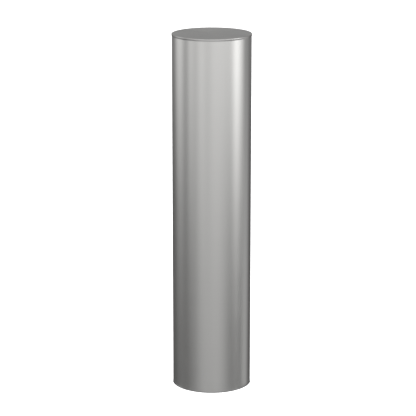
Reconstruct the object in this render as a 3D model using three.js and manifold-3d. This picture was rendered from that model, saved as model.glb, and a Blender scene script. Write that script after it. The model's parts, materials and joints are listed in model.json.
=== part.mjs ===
// Retractable bollard, automatic screw-driven type, shown raised.
// Millimetres, Z up, finished paving at z = 0 on the axis of the bollard.
//
// A steel tube with a flat cap slides up out of a casing set in the ground. The tube stands on a
// slider flange that runs on three columns. A lead screw on the axis, turned by a geared motor
// below it, carries the slider up and down. Columns, screw and motor hang from the frame flange
// as one unit that lifts out of the casing.

import * as THREE from 'three';
import { mergeVertices } from 'three/addons/utils/BufferGeometryUtils.js';
import Module from 'manifold-3d';

const wasm = await Module();
wasm.setup();

// ---- Driving sizes ----

const HEIGHT = 1000;          // cap above the paving when raised, and the stroke
const TUBE_DIAMETER = 219.1;
const TUBE_WALL = 8;
const BURIED = 200;           // tube left below the paving when raised
const CAP_THICKNESS = 5;
const CAP_OVERHANG = 0.95;
const CAP_EDGE = 1.5;         // edge radius
const CAP_JOINT = 0.6;        // open joint between cap and tube
const COVER = 70;             // paving down to the frame flange
const RIM_DROP = 4;           // collar rim below the paving
const COLLAR_WALL = 5;
const FLANGE = 12;            // frame flange and casing flange
const FLANGE_WIDTH = 28;      // outside the casing
const PLATE = 14;             // slider flange and lower plate
const CASING_WALL = 4;
const BASE = 10;
const COLUMN_DIAMETER = 20;
const BUSH_WALL = 3.6;
const BUSH_ABOVE = 24;        // bush standing out of the slider flange, upwards
const BUSH_BELOW = 22;
const BUFFER = 25;
const STOP_GAP = 1;           // bush to buffer at either end of the stroke
const SCREW_DIAMETER = 32;
const NUT = { wall: 13.6, above: 50, rim: 15, flange: 12 };
const END_COLLAR = { rim: 5, tall: 12 };
const BEARING = { bore: 25, outside: 52, width: 20, ring: 3.8 };
const HOUSING = { wall: 14, rim: 16, rimTall: 8, floor: 12 };
const HUB = { wall: 15.5, length: 24, gap: 14 };
const OUTPUT_DIAMETER = 20;   // gearbox shaft
const LANTERN = { radius: 63, wall: 5, rim: 13, rimTall: 8 };
const GEARBOX_LENGTH = 64;
const MOTOR = { radius: 58, length: 114, fin: 5 };
const SUMP = 30;              // motor to casing base
const RAIL = { thick: 3.5, wide: 20 };
const LUG = { leg: 60, thick: 6, wide: 50 };
const CONDUIT = { bore: 40, wall: 4, below: 14 };    // below the casing flange
const DRAIN = { bore: 68, wall: 4, above: 75 };
const BOX = { deep: 36, wide: 60, wall: 2.5, lid: 5 };
const SENSOR = { deep: 14, wide: 20, tall: 30 };
const FLAG = { foot: 14, thick: 3, wide: 20, tall: 32 };
const FOOT_RING = { tall: 25, wide: 39 };

// ---- Clearances ----

const FIT = 0.3;              // pieces that rest on or in each other
const RUN = 0.4;              // pieces that slide or turn on each other
const RING_SPACE = 4.5;       // tube to collar, filled by the wiper and the guide ring
const TUBE_TO_BUSH = 6.5;
const SLIDER_EDGE = 6;        // steel left outside the bushes
const SLIDER_TO_RAIL = 2.5;
const RAIL_TO_CASING = 1.9;
const SLIDER_TO_SENSOR = 16;
const SLIDER_TO_BOX = 15;
const SCREW_END = 10;         // nut to the collar that ends the screw
const HUB_SPACE = 5;          // bearing housing to the coupling
const SHAFT_SPACE = 11;       // coupling to the gearbox

// ---- Arcs: sides of a full circle ----

const WIDE = 60;
const MEDIUM = 30;
const SMALL = 18;

// ---- Levels and radii that follow ----

// Outside of the bell of a pipe socket: the bell holds a pipe of the socket's own outside.
function bellRadius({ bore, wall }) {
  return bore / 2 + wall + FIT + wall;
}

const TUBE_R = TUBE_DIAMETER / 2;
const TUBE_BORE_R = TUBE_R - TUBE_WALL;
const CAP_R = TUBE_R + CAP_OVERHANG;
const TUBE_TOP = HEIGHT - CAP_THICKNESS - CAP_JOINT;
const STROKE = HEIGHT;

const COLLAR_BORE_R = TUBE_R + RING_SPACE;
const COLLAR_R = COLLAR_BORE_R + COLLAR_WALL;
const FRAME_TOP = -COVER;
const FRAME_BOTTOM = FRAME_TOP - FLANGE;

const COLUMN_R = COLUMN_DIAMETER / 2;
const BUSH_R = COLUMN_R + RUN + BUSH_WALL;
const COLUMN_PITCH_R = TUBE_R + TUBE_TO_BUSH + BUSH_R;
const COLUMN_ANGLES = [60, 180, 300];
const SLIDER_R = COLUMN_PITCH_R + BUSH_R + SLIDER_EDGE;
const SLIDER_TOP = -BURIED;
const SLIDER_BOTTOM = SLIDER_TOP - PLATE;
const FOOT_SCREW_PITCH_R = TUBE_BORE_R - FOOT_RING.wide / 2;
const FOOT_SCREW_ANGLES = [0, 120, 240];

const RAIL_IN_R = SLIDER_R + SLIDER_TO_RAIL;
const RAIL_ANGLE = 120;
const CASING_BORE_R = RAIL_IN_R + RAIL.thick + RAIL_TO_CASING;
const CASING_R = CASING_BORE_R + CASING_WALL;
const FLANGE_R = CASING_R + FLANGE_WIDTH;
const FRAME_SCREW_PITCH_R = CASING_R + FLANGE_WIDTH / 2;
const FRAME_SCREW_ANGLES = [30, 90, 150, 210, 270, 330];

const TOP_BUFFER_BOTTOM = SLIDER_TOP + BUSH_ABOVE + STOP_GAP;
const SHOULDER_BOTTOM = TOP_BUFFER_BOTTOM + BUFFER + FIT;
const LOW_BUFFER_BOTTOM = SLIDER_BOTTOM - BUSH_BELOW - STROKE - STOP_GAP - BUFFER;
const LOWER_TOP = LOW_BUFFER_BOTTOM - FIT;
const LOWER_BOTTOM = LOWER_TOP - PLATE;
const LOWER_R = RAIL_IN_R - FIT;

const SCREW_R = SCREW_DIAMETER / 2;
const NUT_R = SCREW_R + RUN + NUT.wall;
const JOURNAL_R = BEARING.bore / 2 - FIT;
const OUTPUT_R = OUTPUT_DIAMETER / 2;
const HUB_R = Math.max(JOURNAL_R, OUTPUT_R) + FIT + HUB.wall;
const BEARING_TOP = LOWER_TOP + FIT + HOUSING.rimTall - 2;
const BEARING_BOTTOM = BEARING_TOP - BEARING.width;
const HOUSING_R = BEARING.outside / 2 + HOUSING.wall;
const HOUSING_BOTTOM = BEARING_BOTTOM - HOUSING.floor;
const NUT_TOP = SLIDER_TOP + NUT.above;
const END_COLLAR_BOTTOM = NUT_TOP + SCREW_END;
const SCREW_TOP = END_COLLAR_BOTTOM + END_COLLAR.tall + 3;

const UPPER_HUB_BOTTOM = HOUSING_BOTTOM - HUB_SPACE - HUB.length;
const LOWER_HUB_TOP = UPPER_HUB_BOTTOM - HUB.gap;
const LOWER_HUB_BOTTOM = LOWER_HUB_TOP - HUB.length;
const LANTERN_TOP = LOWER_BOTTOM - FIT;
const LANTERN_BOTTOM = LOWER_HUB_BOTTOM - SHAFT_SPACE;
const GEARBOX_TOP = LANTERN_BOTTOM - FIT;
const MOTOR_TOP = GEARBOX_TOP - GEARBOX_LENGTH - FIT;
const BASE_TOP = MOTOR_TOP - MOTOR.length - SUMP;
const DRAIN_LEVEL = BASE_TOP + DRAIN.above;

const LID_BOTTOM = FRAME_BOTTOM - FIT - BOX.lid;
const BOX_TOP = LID_BOTTOM - FIT;
const BOX_BOTTOM = SLIDER_TOP + SLIDER_TO_BOX;
const BOX_LEVEL = (BOX_TOP + BOX_BOTTOM) / 2;
const CONDUIT_LEVEL = FRAME_BOTTOM - FIT - FLANGE - CONDUIT.below - bellRadius(CONDUIT);

// ---- Finishes ----

const FINISHES = {
  stainless: [0xb9bbbd, 0.3, 1],
  steel: [0x8d9196, 0.4, 1],
  ground_steel: [0xc6c9cc, 0.18, 1],
  galvanised: [0xa3a8ab, 0.55, 1],
  zinc_screw: [0xb4b6b2, 0.35, 1],
  bronze: [0xb08a4a, 0.35, 1],
  rubber: [0x17181a, 0.85, 0],
  polymer: [0x2b2d30, 0.5, 0],
  grey_plastic: [0x8b9094, 0.5, 0],
  orange_rubber: [0xc4582a, 0.6, 0],
  dark_paint: [0x3a4148, 0.45, 0],
  blue_paint: [0x2f4f6b, 0.45, 0],
};

function finish(kind) {
  const [color, roughness, metalness] = FINISHES[kind];
  return new THREE.MeshStandardMaterial({ color, roughness, metalness });
}

// ---- Shapes ----

const radians = (degrees) => degrees * Math.PI / 180;

function polar(radius, degrees) {
  return [radius * Math.cos(radians(degrees)), radius * Math.sin(radians(degrees))];
}

function circle(radius, sides, x = 0, y = 0) {
  const points = [];
  for (let i = 0; i < sides; i += 1) {
    const [dx, dy] = polar(radius, 360 * i / sides);
    points.push(new THREE.Vector2(x + dx, y + dy));
  }
  return points;
}

// Solid of revolution about Z. The profile runs anticlockwise in (radius, height); one that
// does not meet the axis is closed on itself.
function turned(profile, sides) {
  const points = profile.map(([r, z]) => new THREE.Vector2(r, z));
  if (profile[0][0] > 0) {
    points.push(points[0].clone());
  }
  return new THREE.LatheGeometry(points, sides).rotateX(Math.PI / 2);
}

function ring(inner, outer, height, sides) {
  return turned([[inner, 0], [outer, 0], [outer, height], [inner, height]], sides);
}

function rod(radius, length, sides) {
  return turned([[0, 0], [radius, 0], [radius, length], [0, length]], sides);
}

// Flat plate from an outline, with round holes given as [x, y, radius, sides].
function plate(outline, thickness, holes = []) {
  const shape = new THREE.Shape(outline);
  for (const [x, y, radius, sides] of holes) {
    shape.holes.push(new THREE.Path(circle(radius, sides, x, y)));
  }
  return new THREE.ExtrudeGeometry(shape, { depth: thickness, bevelEnabled: false });
}

function roundedSquare(side, corner) {
  const half = side / 2 - corner;
  const points = [];
  const centres = [[half, half], [-half, half], [-half, -half], [half, -half]];
  centres.forEach(([x, y], quarter) => {
    for (let i = 0; i <= 4; i += 1) {
      const [dx, dy] = polar(corner, 90 * quarter + 22.5 * i);
      points.push(new THREE.Vector2(x + dx, y + dy));
    }
  });
  return points;
}

function holesAt(angles, pitch, radius, sides = SMALL) {
  return angles.map((angle) => [...polar(pitch, angle), radius, sides]);
}

// ---- Booleans ----

function solid(geometry) {
  const loose = geometry.index ? geometry.toNonIndexed() : geometry;
  loose.deleteAttribute('normal');
  loose.deleteAttribute('uv');
  const merged = mergeVertices(loose, 1e-4);
  return new wasm.Manifold(new wasm.Mesh({
    numProp: 3,
    vertProperties: merged.attributes.position.array,
    triVerts: new Uint32Array(merged.index.array),
  }));
}

function skin(body) {
  const mesh = body.getMesh();
  const indexed = new THREE.BufferGeometry();
  indexed.setAttribute('position', new THREE.BufferAttribute(mesh.vertProperties, 3));
  indexed.setIndex(new THREE.BufferAttribute(mesh.triVerts, 1));
  const geometry = indexed.toNonIndexed();
  geometry.computeVertexNormals();
  return geometry;
}

function cut(geometry, tools) {
  return skin(tools.reduce((body, tool) => body.subtract(solid(tool)), solid(geometry)));
}

function join(geometries) {
  const [first, ...rest] = geometries.map(solid);
  return skin(rest.reduce((body, extra) => body.add(extra), first));
}

// Round drills through a thickness, along Z, at the given angles.
function drills(angles, pitch, radius, bottom, top) {
  return angles.map((angle) => {
    const [x, y] = polar(pitch, angle);
    return rod(radius, top - bottom + 2, SMALL).translate(x, y, bottom - 1);
  });
}

// ---- Assembly helpers ----

const group = new THREE.Group();
group.name = 'retractable_bollard';

function subassembly(name) {
  const part = new THREE.Group();
  part.name = name;
  group.add(part);
  return part;
}

const slider = subassembly('moving_bollard');
const drive = subassembly('turning_screw');
const fixed = subassembly('ground_unit');

function add(parent, name, geometry, kind, x = 0, y = 0, z = 0) {
  const mesh = new THREE.Mesh(geometry, finish(kind));
  mesh.name = name;
  mesh.position.set(x, y, z);
  parent.add(mesh);
  return mesh;
}

function addAround(parent, name, geometry, kind, angles, pitch, z) {
  angles.forEach((angle, i) => {
    const [x, y] = polar(pitch, angle);
    const mesh = add(parent, `${name}_${i + 1}`, geometry.clone(), kind, x, y, z);
    mesh.rotation.z = radians(angle);
  });
}

// ---- Moving bollard ----

function tube() {
  const length = TUBE_TOP - SLIDER_TOP - FIT;
  return ring(TUBE_BORE_R, TUBE_R, length, WIDE);
}

// Flat disc with a rounded edge, a neck that rests on the tube and leaves the open joint, and a
// spigot inside the tube. Heights are below the cap top.
function cap() {
  const spigotR = TUBE_BORE_R - FIT;
  const neckR = TUBE_R - 2;
  const neckBottom = -CAP_THICKNESS - CAP_JOINT + FIT;
  const profile = [
    [0, -CAP_THICKNESS],
    [spigotR - 6, -CAP_THICKNESS],
    [spigotR - 6, -CAP_THICKNESS - 30],
    [spigotR, -CAP_THICKNESS - 30],
    [spigotR, neckBottom],
    [neckR, neckBottom],
    [neckR, -CAP_THICKNESS],
    [CAP_R, -CAP_THICKNESS],
  ];
  for (let i = 0; i <= 3; i += 1) {
    const [dr, dz] = polar(CAP_EDGE, 30 * i);
    profile.push([CAP_R - CAP_EDGE + dr, -CAP_EDGE + dz]);
  }
  profile.push([0, 0]);
  return turned(profile, WIDE);
}

const FOOT_SCREW_R = 6;

function footRing() {
  const holes = holesAt(FOOT_SCREW_ANGLES, FOOT_SCREW_PITCH_R, FOOT_SCREW_R + FIT);
  holes.push([0, 0, TUBE_BORE_R - FOOT_RING.wide, MEDIUM]);
  return plate(circle(TUBE_BORE_R - FIT, WIDE), FOOT_RING.tall, holes);
}

function sliderFlange() {
  const holes = [
    [0, 0, NUT_R + FIT, MEDIUM],
    ...holesAt(COLUMN_ANGLES, COLUMN_PITCH_R, BUSH_R + FIT),
    ...holesAt(FOOT_SCREW_ANGLES, FOOT_SCREW_PITCH_R, FOOT_SCREW_R + FIT),
  ];
  return plate(circle(SLIDER_R, WIDE), PLATE, holes);
}

function guideBush() {
  const rim = BUSH_BELOW + PLATE + FIT;
  const length = BUSH_BELOW + PLATE + BUSH_ABOVE;
  return turned([
    [COLUMN_R + RUN, 0],
    [BUSH_R, 0],
    [BUSH_R, rim],
    [BUSH_R + 4, rim],
    [BUSH_R + 4, rim + 7],
    [BUSH_R, rim + 7],
    [BUSH_R, length],
    [COLUMN_R + RUN, length],
  ], SMALL);
}

function screwNut() {
  const rim = NUT.flange;
  const length = NUT_TOP - SLIDER_BOTTOM + FIT + rim;
  return turned([
    [SCREW_R + RUN, 0],
    [NUT_R + NUT.rim, 0],
    [NUT_R + NUT.rim, rim],
    [NUT_R, rim],
    [NUT_R, length],
    [SCREW_R + RUN, length],
  ], MEDIUM);
}

// Cap screw with the head down and a round socket in it.
function capScrew(headR, headHeight, shankR, shankLength) {
  const top = headHeight + shankLength;
  return turned([
    [0, headHeight / 2],
    [headR / 2, headHeight / 2],
    [headR / 2, 0],
    [headR - 1, 0],
    [headR, 1],
    [headR, headHeight],
    [shankR, headHeight],
    [shankR, top],
    [0, top],
  ], SMALL);
}

// Angle bracket: foot along X towards the axis, upright at the outside.
function angleBracket(foot, tall, thick, wide) {
  const outline = [
    [0, 0], [foot, 0], [foot, tall], [foot - thick, tall], [foot - thick, thick], [0, thick],
  ].map(([x, y]) => new THREE.Vector2(x, y));
  const bracket = plate(outline, wide);
  return bracket.translate(0, 0, -wide / 2).rotateX(Math.PI / 2);
}

add(slider, 'bollard_tube', tube(), 'stainless', 0, 0, SLIDER_TOP + FIT);
add(slider, 'cap', cap(), 'stainless', 0, 0, HEIGHT);
add(slider, 'foot_ring', footRing(), 'steel', 0, 0, SLIDER_TOP + FIT);
add(slider, 'slider_flange', sliderFlange(), 'steel', 0, 0, SLIDER_BOTTOM);
addAround(slider, 'guide_bush', guideBush(), 'bronze', COLUMN_ANGLES, COLUMN_PITCH_R,
  SLIDER_BOTTOM - BUSH_BELOW);
add(slider, 'screw_nut', screwNut(), 'bronze', 0, 0, SLIDER_BOTTOM - FIT - NUT.flange);
addAround(slider, 'foot_screw', capScrew(9, 10, FOOT_SCREW_R, PLATE + FOOT_RING.tall - 3),
  'zinc_screw', FOOT_SCREW_ANGLES, FOOT_SCREW_PITCH_R, SLIDER_BOTTOM - FIT - 10);

function addFlag() {
  const [x, y] = polar(SLIDER_R - 3 - FLAG.foot, RAIL_ANGLE);
  const bracket = angleBracket(FLAG.foot, FLAG.tall, FLAG.thick, FLAG.wide);
  const flag = add(slider, 'sensor_flag', bracket, 'zinc_screw', x, y, SLIDER_TOP + FIT);
  flag.rotation.z = radians(RAIL_ANGLE);
}
addFlag();

// ---- Turning screw ----

const SCREW_NECK_R = SCREW_R - 5;

function leadScrew() {
  const journal = BEARING_TOP + FIT - UPPER_HUB_BOTTOM - 1;
  const threadTop = journal + END_COLLAR_BOTTOM - FIT - BEARING_TOP - FIT;
  const top = threadTop + SCREW_TOP - END_COLLAR_BOTTOM;
  const neckR = SCREW_NECK_R;
  return turned([
    [0, 0],
    [JOURNAL_R - 1, 0],
    [JOURNAL_R, 1],
    [JOURNAL_R, journal],
    [SCREW_R - 1.5, journal],
    [SCREW_R, journal + 1.5],
    [SCREW_R, threadTop - 1.5],
    [SCREW_R - 1.5, threadTop],
    [neckR, threadTop],
    [neckR, top - 1],
    [neckR - 1, top],
    [0, top],
  ], MEDIUM);
}

function sector(inner, outer, centre, half) {
  const points = [];
  for (const step of [-1, -0.33, 0.33, 1]) {
    points.push(new THREE.Vector2(...polar(outer, centre + half * step)));
  }
  points.push(new THREE.Vector2(...polar(inner, centre + half)));
  points.push(new THREE.Vector2(...polar(inner, centre - half)));
  return points;
}

const JAW_IN_R = Math.max(JOURNAL_R, OUTPUT_R) + FIT + 1;
const JAW_HALF = 18;
const ARM_HALF = 10.8;

// Coupling half with its three jaws pointing up.
function couplingHub(bore, jawAngles) {
  const pieces = [ring(bore, HUB_R, HUB.length, MEDIUM)];
  for (const angle of jawAngles) {
    const outline = sector(JAW_IN_R, HUB_R, angle, JAW_HALF);
    pieces.push(plate(outline, HUB.gap - 1 + 2).translate(0, 0, HUB.length - 2));
  }
  return join(pieces);
}

// Six-armed elastic star between the jaws.
function couplingSpider() {
  const outline = [];
  const core = JAW_IN_R - 1.2;
  for (let k = 0; k < 6; k += 1) {
    const arm = 30 + 60 * k;
    outline.push(polar(core, arm - ARM_HALF));
    outline.push(polar(HUB_R, arm - ARM_HALF));
    outline.push(polar(HUB_R, arm + ARM_HALF));
    outline.push(polar(core, arm + ARM_HALF));
    outline.push(polar(core, arm + 30));
  }
  return plate(outline.map(([x, y]) => new THREE.Vector2(x, y)), HUB.gap - 2 * FIT);
}

add(drive, 'lead_screw', leadScrew(), 'ground_steel', 0, 0, UPPER_HUB_BOTTOM + 1);
add(drive, 'screw_end_collar',
  ring(SCREW_NECK_R + FIT, SCREW_R + END_COLLAR.rim, END_COLLAR.tall, MEDIUM), 'steel',
  0, 0, END_COLLAR_BOTTOM);
add(drive, 'bearing_inner_ring',
  ring(BEARING.bore / 2, BEARING.bore / 2 + BEARING.ring, BEARING.width, MEDIUM),
  'ground_steel', 0, 0, BEARING_BOTTOM);
add(drive, 'coupling_hub_lower', couplingHub(OUTPUT_R + FIT, [60, 180, 300]),
  'steel', 0, 0, LOWER_HUB_BOTTOM);
add(drive, 'coupling_hub_upper',
  couplingHub(JOURNAL_R + FIT, [60, 180, 300]).rotateX(Math.PI), 'steel',
  0, 0, UPPER_HUB_BOTTOM + HUB.length).rotation.z = radians(60);
add(drive, 'coupling_spider', couplingSpider(), 'orange_rubber', 0, 0, LOWER_HUB_TOP + FIT);
const SHAFT_DEPTH = 25;
add(drive, 'gearbox_shaft',
  rod(OUTPUT_R, LOWER_HUB_TOP - 2 - GEARBOX_TOP + SHAFT_DEPTH, MEDIUM),
  'ground_steel', 0, 0, GEARBOX_TOP - SHAFT_DEPTH);

// ---- Frame at the top ----

const LEDGE_R = TUBE_R + 1.5;
const LEDGE_TOP = -20;
const LEDGE = 4;
const LIP = 3;
const SPIGOT_R = COLUMN_R - 3;
const FRAME_SCREW_R = 6;

function frameFlange() {
  const profile = [
    [LEDGE_R, FRAME_BOTTOM],
    [FLANGE_R, FRAME_BOTTOM],
    [FLANGE_R, FRAME_TOP],
    [COLLAR_R + 5, FRAME_TOP],
    [COLLAR_R, FRAME_TOP + 5],
    [COLLAR_R, -RIM_DROP],
    [COLLAR_BORE_R, -RIM_DROP],
    [COLLAR_BORE_R, LEDGE_TOP],
    [LEDGE_R, LEDGE_TOP],
    [LEDGE_R, LEDGE_TOP - LEDGE],
    [COLLAR_BORE_R, LEDGE_TOP - LEDGE],
    [COLLAR_BORE_R, FRAME_BOTTOM + LIP],
    [LEDGE_R, FRAME_BOTTOM + LIP],
  ];
  return cut(turned(profile, WIDE), [
    ...drills(COLUMN_ANGLES, COLUMN_PITCH_R, SPIGOT_R + FIT, FRAME_BOTTOM, FRAME_TOP),
    ...drills(FRAME_SCREW_ANGLES, FRAME_SCREW_PITCH_R, FRAME_SCREW_R + FIT,
      FRAME_BOTTOM, FRAME_TOP),
  ]);
}

// Wiper with a thin lip that stands up against the tube.
function wiperSeal() {
  const seat = COLLAR_BORE_R - FIT;
  return turned([
    [TUBE_R + 1.25, 0],
    [seat, 0],
    [seat, 13.7],
    [seat - 1.3, 13.7],
    [TUBE_R + 1.85, 8],
    [TUBE_R + 1.05, 12.2],
    [TUBE_R + RUN, 12.2],
    [TUBE_R + 0.75, 6],
  ], WIDE);
}

function guideRing() {
  const length = LEDGE_TOP - LEDGE - FRAME_BOTTOM - LIP - 2 * FIT;
  return ring(TUBE_R + RUN, COLLAR_BORE_R - FIT, length, WIDE);
}

add(fixed, 'frame_flange', frameFlange(), 'galvanised');
add(fixed, 'wiper_seal', wiperSeal(), 'rubber', 0, 0, LEDGE_TOP + FIT);
add(fixed, 'upper_guide_ring', guideRing(), 'polymer', 0, 0, FRAME_BOTTOM + LIP + FIT);
addAround(fixed, 'frame_screw', capScrew(9, 12, FRAME_SCREW_R, 2 * FLANGE + 10)
  .rotateX(Math.PI), 'zinc_screw', FRAME_SCREW_ANGLES, FRAME_SCREW_PITCH_R,
FRAME_TOP + FIT + 12);

// ---- Casing in the ground ----

function sideHole(radius, level, towards) {
  const drill = rod(radius, 40, MEDIUM).rotateY(towards * Math.PI / 2);
  return drill.translate(towards * (CASING_R - 25), 0, level);
}

function casing() {
  const top = FRAME_BOTTOM - FIT;
  const profile = [
    [CASING_BORE_R, BASE_TOP + FIT],
    [CASING_R, BASE_TOP + FIT],
    [CASING_R, top - FLANGE],
    [FLANGE_R, top - FLANGE],
    [FLANGE_R, top],
    [CASING_BORE_R, top],
  ];
  return cut(turned(profile, WIDE), [
    ...drills(FRAME_SCREW_ANGLES, FRAME_SCREW_PITCH_R, FRAME_SCREW_R + FIT,
      top - FLANGE, top),
    sideHole(CONDUIT.bore / 2 + CONDUIT.wall + FIT, CONDUIT_LEVEL, 1),
    sideHole(DRAIN.bore / 2 + DRAIN.wall + FIT, DRAIN_LEVEL, -1),
  ]);
}

// Short pipe with a bell end, from just inside the casing outwards along Z.
function pipeSocket(size) {
  const { bore, wall } = size;
  const pipeR = bore / 2 + wall;
  const bellR = bellRadius(size);
  return turned([
    [bore / 2, 0],
    [pipeR, 0],
    [pipeR, 36],
    [bellR, 40],
    [bellR, 63],
    [bellR - wall, 63],
    [bellR - wall, 42],
    [bore / 2, 42],
  ], MEDIUM);
}

function addSocket(name, size, level, towards) {
  const socket = add(fixed, name, pipeSocket(size), 'grey_plastic',
    towards * (CASING_BORE_R - 6), 0, level);
  socket.rotation.y = towards * Math.PI / 2;
}

function addLugs() {
  const lug = angleBracket(LUG.leg, LUG.leg, LUG.thick, LUG.wide);
  const outward = lug.translate(-LUG.leg, 0, 0).rotateZ(Math.PI);
  addAround(fixed, 'anchor_lug', outward, 'galvanised', [0, 120, 240], CASING_R + FIT,
    (FRAME_BOTTOM + BASE_TOP) / 2);
}

add(fixed, 'foundation_casing', casing(), 'galvanised');
add(fixed, 'casing_base', rod(CASING_R + 14, BASE, WIDE), 'galvanised', 0, 0, BASE_TOP - BASE);
addSocket('conduit_socket', CONDUIT, CONDUIT_LEVEL, 1);
addSocket('drain_socket', DRAIN, DRAIN_LEVEL, -1);
addLugs();

// ---- Columns, buffers and lower plate ----

const THREAD_R = COLUMN_R - 2;
const COLUMN_NUT = 13;

function guideColumn() {
  const seat = COLUMN_NUT + 5 + PLATE + FIT;
  const origin = LOWER_TOP + FIT - seat;
  const shoulder = SHOULDER_BOTTOM - origin;
  const flange = FRAME_BOTTOM - FIT - origin;
  const top = FRAME_TOP - 1 - origin;
  return turned([
    [0, 0],
    [THREAD_R - 1, 0],
    [THREAD_R, 1],
    [THREAD_R, seat],
    [COLUMN_R, seat],
    [COLUMN_R, shoulder],
    [BUSH_R, shoulder],
    [BUSH_R, flange],
    [SPIGOT_R, flange],
    [SPIGOT_R, top],
    [0, top],
  ], SMALL);
}

function lowerPlate() {
  return plate(circle(LOWER_R, WIDE), PLATE, [
    [0, 0, HOUSING_R + FIT, MEDIUM],
    ...holesAt(COLUMN_ANGLES, COLUMN_PITCH_R, THREAD_R + FIT),
    ...holesAt([0, 120, 240], (HOUSING_R + LOWER_R) / 2 + 8, 16),
  ]);
}

function columnNut() {
  return plate(circle(COLUMN_R + 4, 6), COLUMN_NUT, [[0, 0, THREAD_R + FIT, SMALL]]);
}

addAround(fixed, 'guide_column', guideColumn(), 'ground_steel', COLUMN_ANGLES,
  COLUMN_PITCH_R, LOWER_BOTTOM - COLUMN_NUT - 5);
addAround(fixed, 'top_buffer', ring(COLUMN_R + RUN, BUSH_R + 2, BUFFER, SMALL), 'rubber',
  COLUMN_ANGLES, COLUMN_PITCH_R, TOP_BUFFER_BOTTOM);
addAround(fixed, 'bottom_buffer', ring(COLUMN_R + RUN, BUSH_R + 4, BUFFER, SMALL), 'rubber',
  COLUMN_ANGLES, COLUMN_PITCH_R, LOW_BUFFER_BOTTOM);
add(fixed, 'lower_plate', lowerPlate(), 'steel', 0, 0, LOWER_BOTTOM);
addAround(fixed, 'column_nut', columnNut(), 'zinc_screw', COLUMN_ANGLES, COLUMN_PITCH_R,
  LOWER_BOTTOM - FIT - COLUMN_NUT);

// ---- Bearing and motor ----

function bearingHousing() {
  const seatR = BEARING.outside / 2 + FIT;
  const lipR = BEARING.outside / 2 - BEARING.ring;
  const rimBottom = LOWER_TOP + FIT;
  return turned([
    [lipR, HOUSING_BOTTOM],
    [HOUSING_R, HOUSING_BOTTOM],
    [HOUSING_R, rimBottom],
    [HOUSING_R + HOUSING.rim, rimBottom],
    [HOUSING_R + HOUSING.rim, rimBottom + HOUSING.rimTall],
    [seatR, rimBottom + HOUSING.rimTall],
    [seatR, BEARING_BOTTOM - FIT],
    [lipR, BEARING_BOTTOM - FIT],
  ], MEDIUM);
}

// Ring housing round the coupling, with flanges at both ends and three windows.
function motorLantern() {
  const length = LANTERN_TOP - LANTERN_BOTTOM;
  const { radius, wall, rim, rimTall } = LANTERN;
  const profile = [
    [radius - wall, 0],
    [radius + rim, 0],
    [radius + rim, rimTall],
    [radius, rimTall],
    [radius, length - rimTall],
    [radius + rim, length - rimTall],
    [radius + rim, length],
    [radius - wall, length],
  ];
  const opening = length - 5 * rimTall;
  const windows = [0, 120, 240].map((angle) => new THREE.BoxGeometry(40, 56, opening)
    .translate(radius, 0, length / 2)
    .rotateZ(radians(angle)));
  return cut(turned(profile, MEDIUM), windows);
}

function gearbox() {
  const flange = plate(roundedSquare(2 * LANTERN.radius, 16), 12)
    .translate(0, 0, GEARBOX_LENGTH - 12);
  const body = rod(LANTERN.radius - 8, GEARBOX_LENGTH - 6, MEDIUM);
  const bore = rod(OUTPUT_R + RUN, SHAFT_DEPTH + 5, SMALL)
    .translate(0, 0, GEARBOX_LENGTH - SHAFT_DEPTH - 3);
  return skin(solid(flange).add(solid(body)).subtract(solid(bore)));
}

const FINS = 24;

// Sealed motor: finned barrel between an end flange and a bell.
function motor() {
  const { radius, length, fin } = MOTOR;
  const outline = [];
  for (let i = 0; i < FINS; i += 1) {
    const angle = 360 * i / FINS;
    outline.push(new THREE.Vector2(...polar(radius, angle - 2)));
    outline.push(new THREE.Vector2(...polar(radius, angle + 2)));
    outline.push(new THREE.Vector2(...polar(radius - fin, angle + 3)));
    outline.push(new THREE.Vector2(...polar(radius - fin, angle + 12)));
  }
  const barrel = plate(outline, length - 30).translate(0, 0, 22);
  const flange = rod(radius, 10, MEDIUM).translate(0, 0, length - 10);
  const bell = turned([
    [0, 0],
    [radius - 16, 0],
    [radius - 6, 4],
    [radius, 12],
    [radius, 24],
    [0, 24],
  ], MEDIUM);
  return join([barrel, flange, bell]);
}

// Cable gland: hexagon, then a tapered nose with an open throat.
function cableGland() {
  const hexagon = plate(circle(13, 6), 8, [[0, 0, 5, SMALL]]);
  const nose = turned([[5, 6], [10.5, 6], [10.5, 16], [8, 22], [5, 22]], SMALL);
  return join([hexagon, nose]);
}

add(fixed, 'bearing_housing', bearingHousing(), 'steel');
add(fixed, 'bearing_outer_ring',
  ring(BEARING.outside / 2 - BEARING.ring, BEARING.outside / 2, BEARING.width, MEDIUM),
  'ground_steel', 0, 0, BEARING_BOTTOM);
add(fixed, 'motor_lantern', motorLantern(), 'dark_paint', 0, 0, LANTERN_BOTTOM);
add(fixed, 'gearbox', gearbox(), 'blue_paint', 0, 0, GEARBOX_TOP - GEARBOX_LENGTH);
add(fixed, 'motor', motor(), 'blue_paint', 0, 0, MOTOR_TOP - MOTOR.length);
add(fixed, 'motor_gland', cableGland(), 'polymer', MOTOR.radius + FIT, 0,
  MOTOR_TOP - MOTOR.length / 2).rotation.y = Math.PI / 2;

// ---- Terminal box and position sensors ----

function junctionBox() {
  const tall = BOX_TOP - BOX_BOTTOM;
  const outer = new THREE.BoxGeometry(BOX.deep, BOX.wide, tall);
  const inner = new THREE.BoxGeometry(BOX.deep - 2 * BOX.wall, BOX.wide - 2 * BOX.wall, tall)
    .translate(0, 0, BOX.wall);
  const inlet = rod(9, 20, SMALL).rotateY(Math.PI / 2)
    .translate(BOX.deep / 2 - 10, 0, CONDUIT_LEVEL - BOX_LEVEL);
  return cut(outer, [inner, inlet]);
}

const BOX_R = SLIDER_R - BOX.deep / 2;
add(fixed, 'junction_box', junctionBox(), 'grey_plastic', BOX_R, 0, BOX_LEVEL);
add(fixed, 'junction_lid', new THREE.BoxGeometry(BOX.deep, BOX.wide, BOX.lid), 'grey_plastic',
  BOX_R, 0, LID_BOTTOM + BOX.lid / 2);

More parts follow.
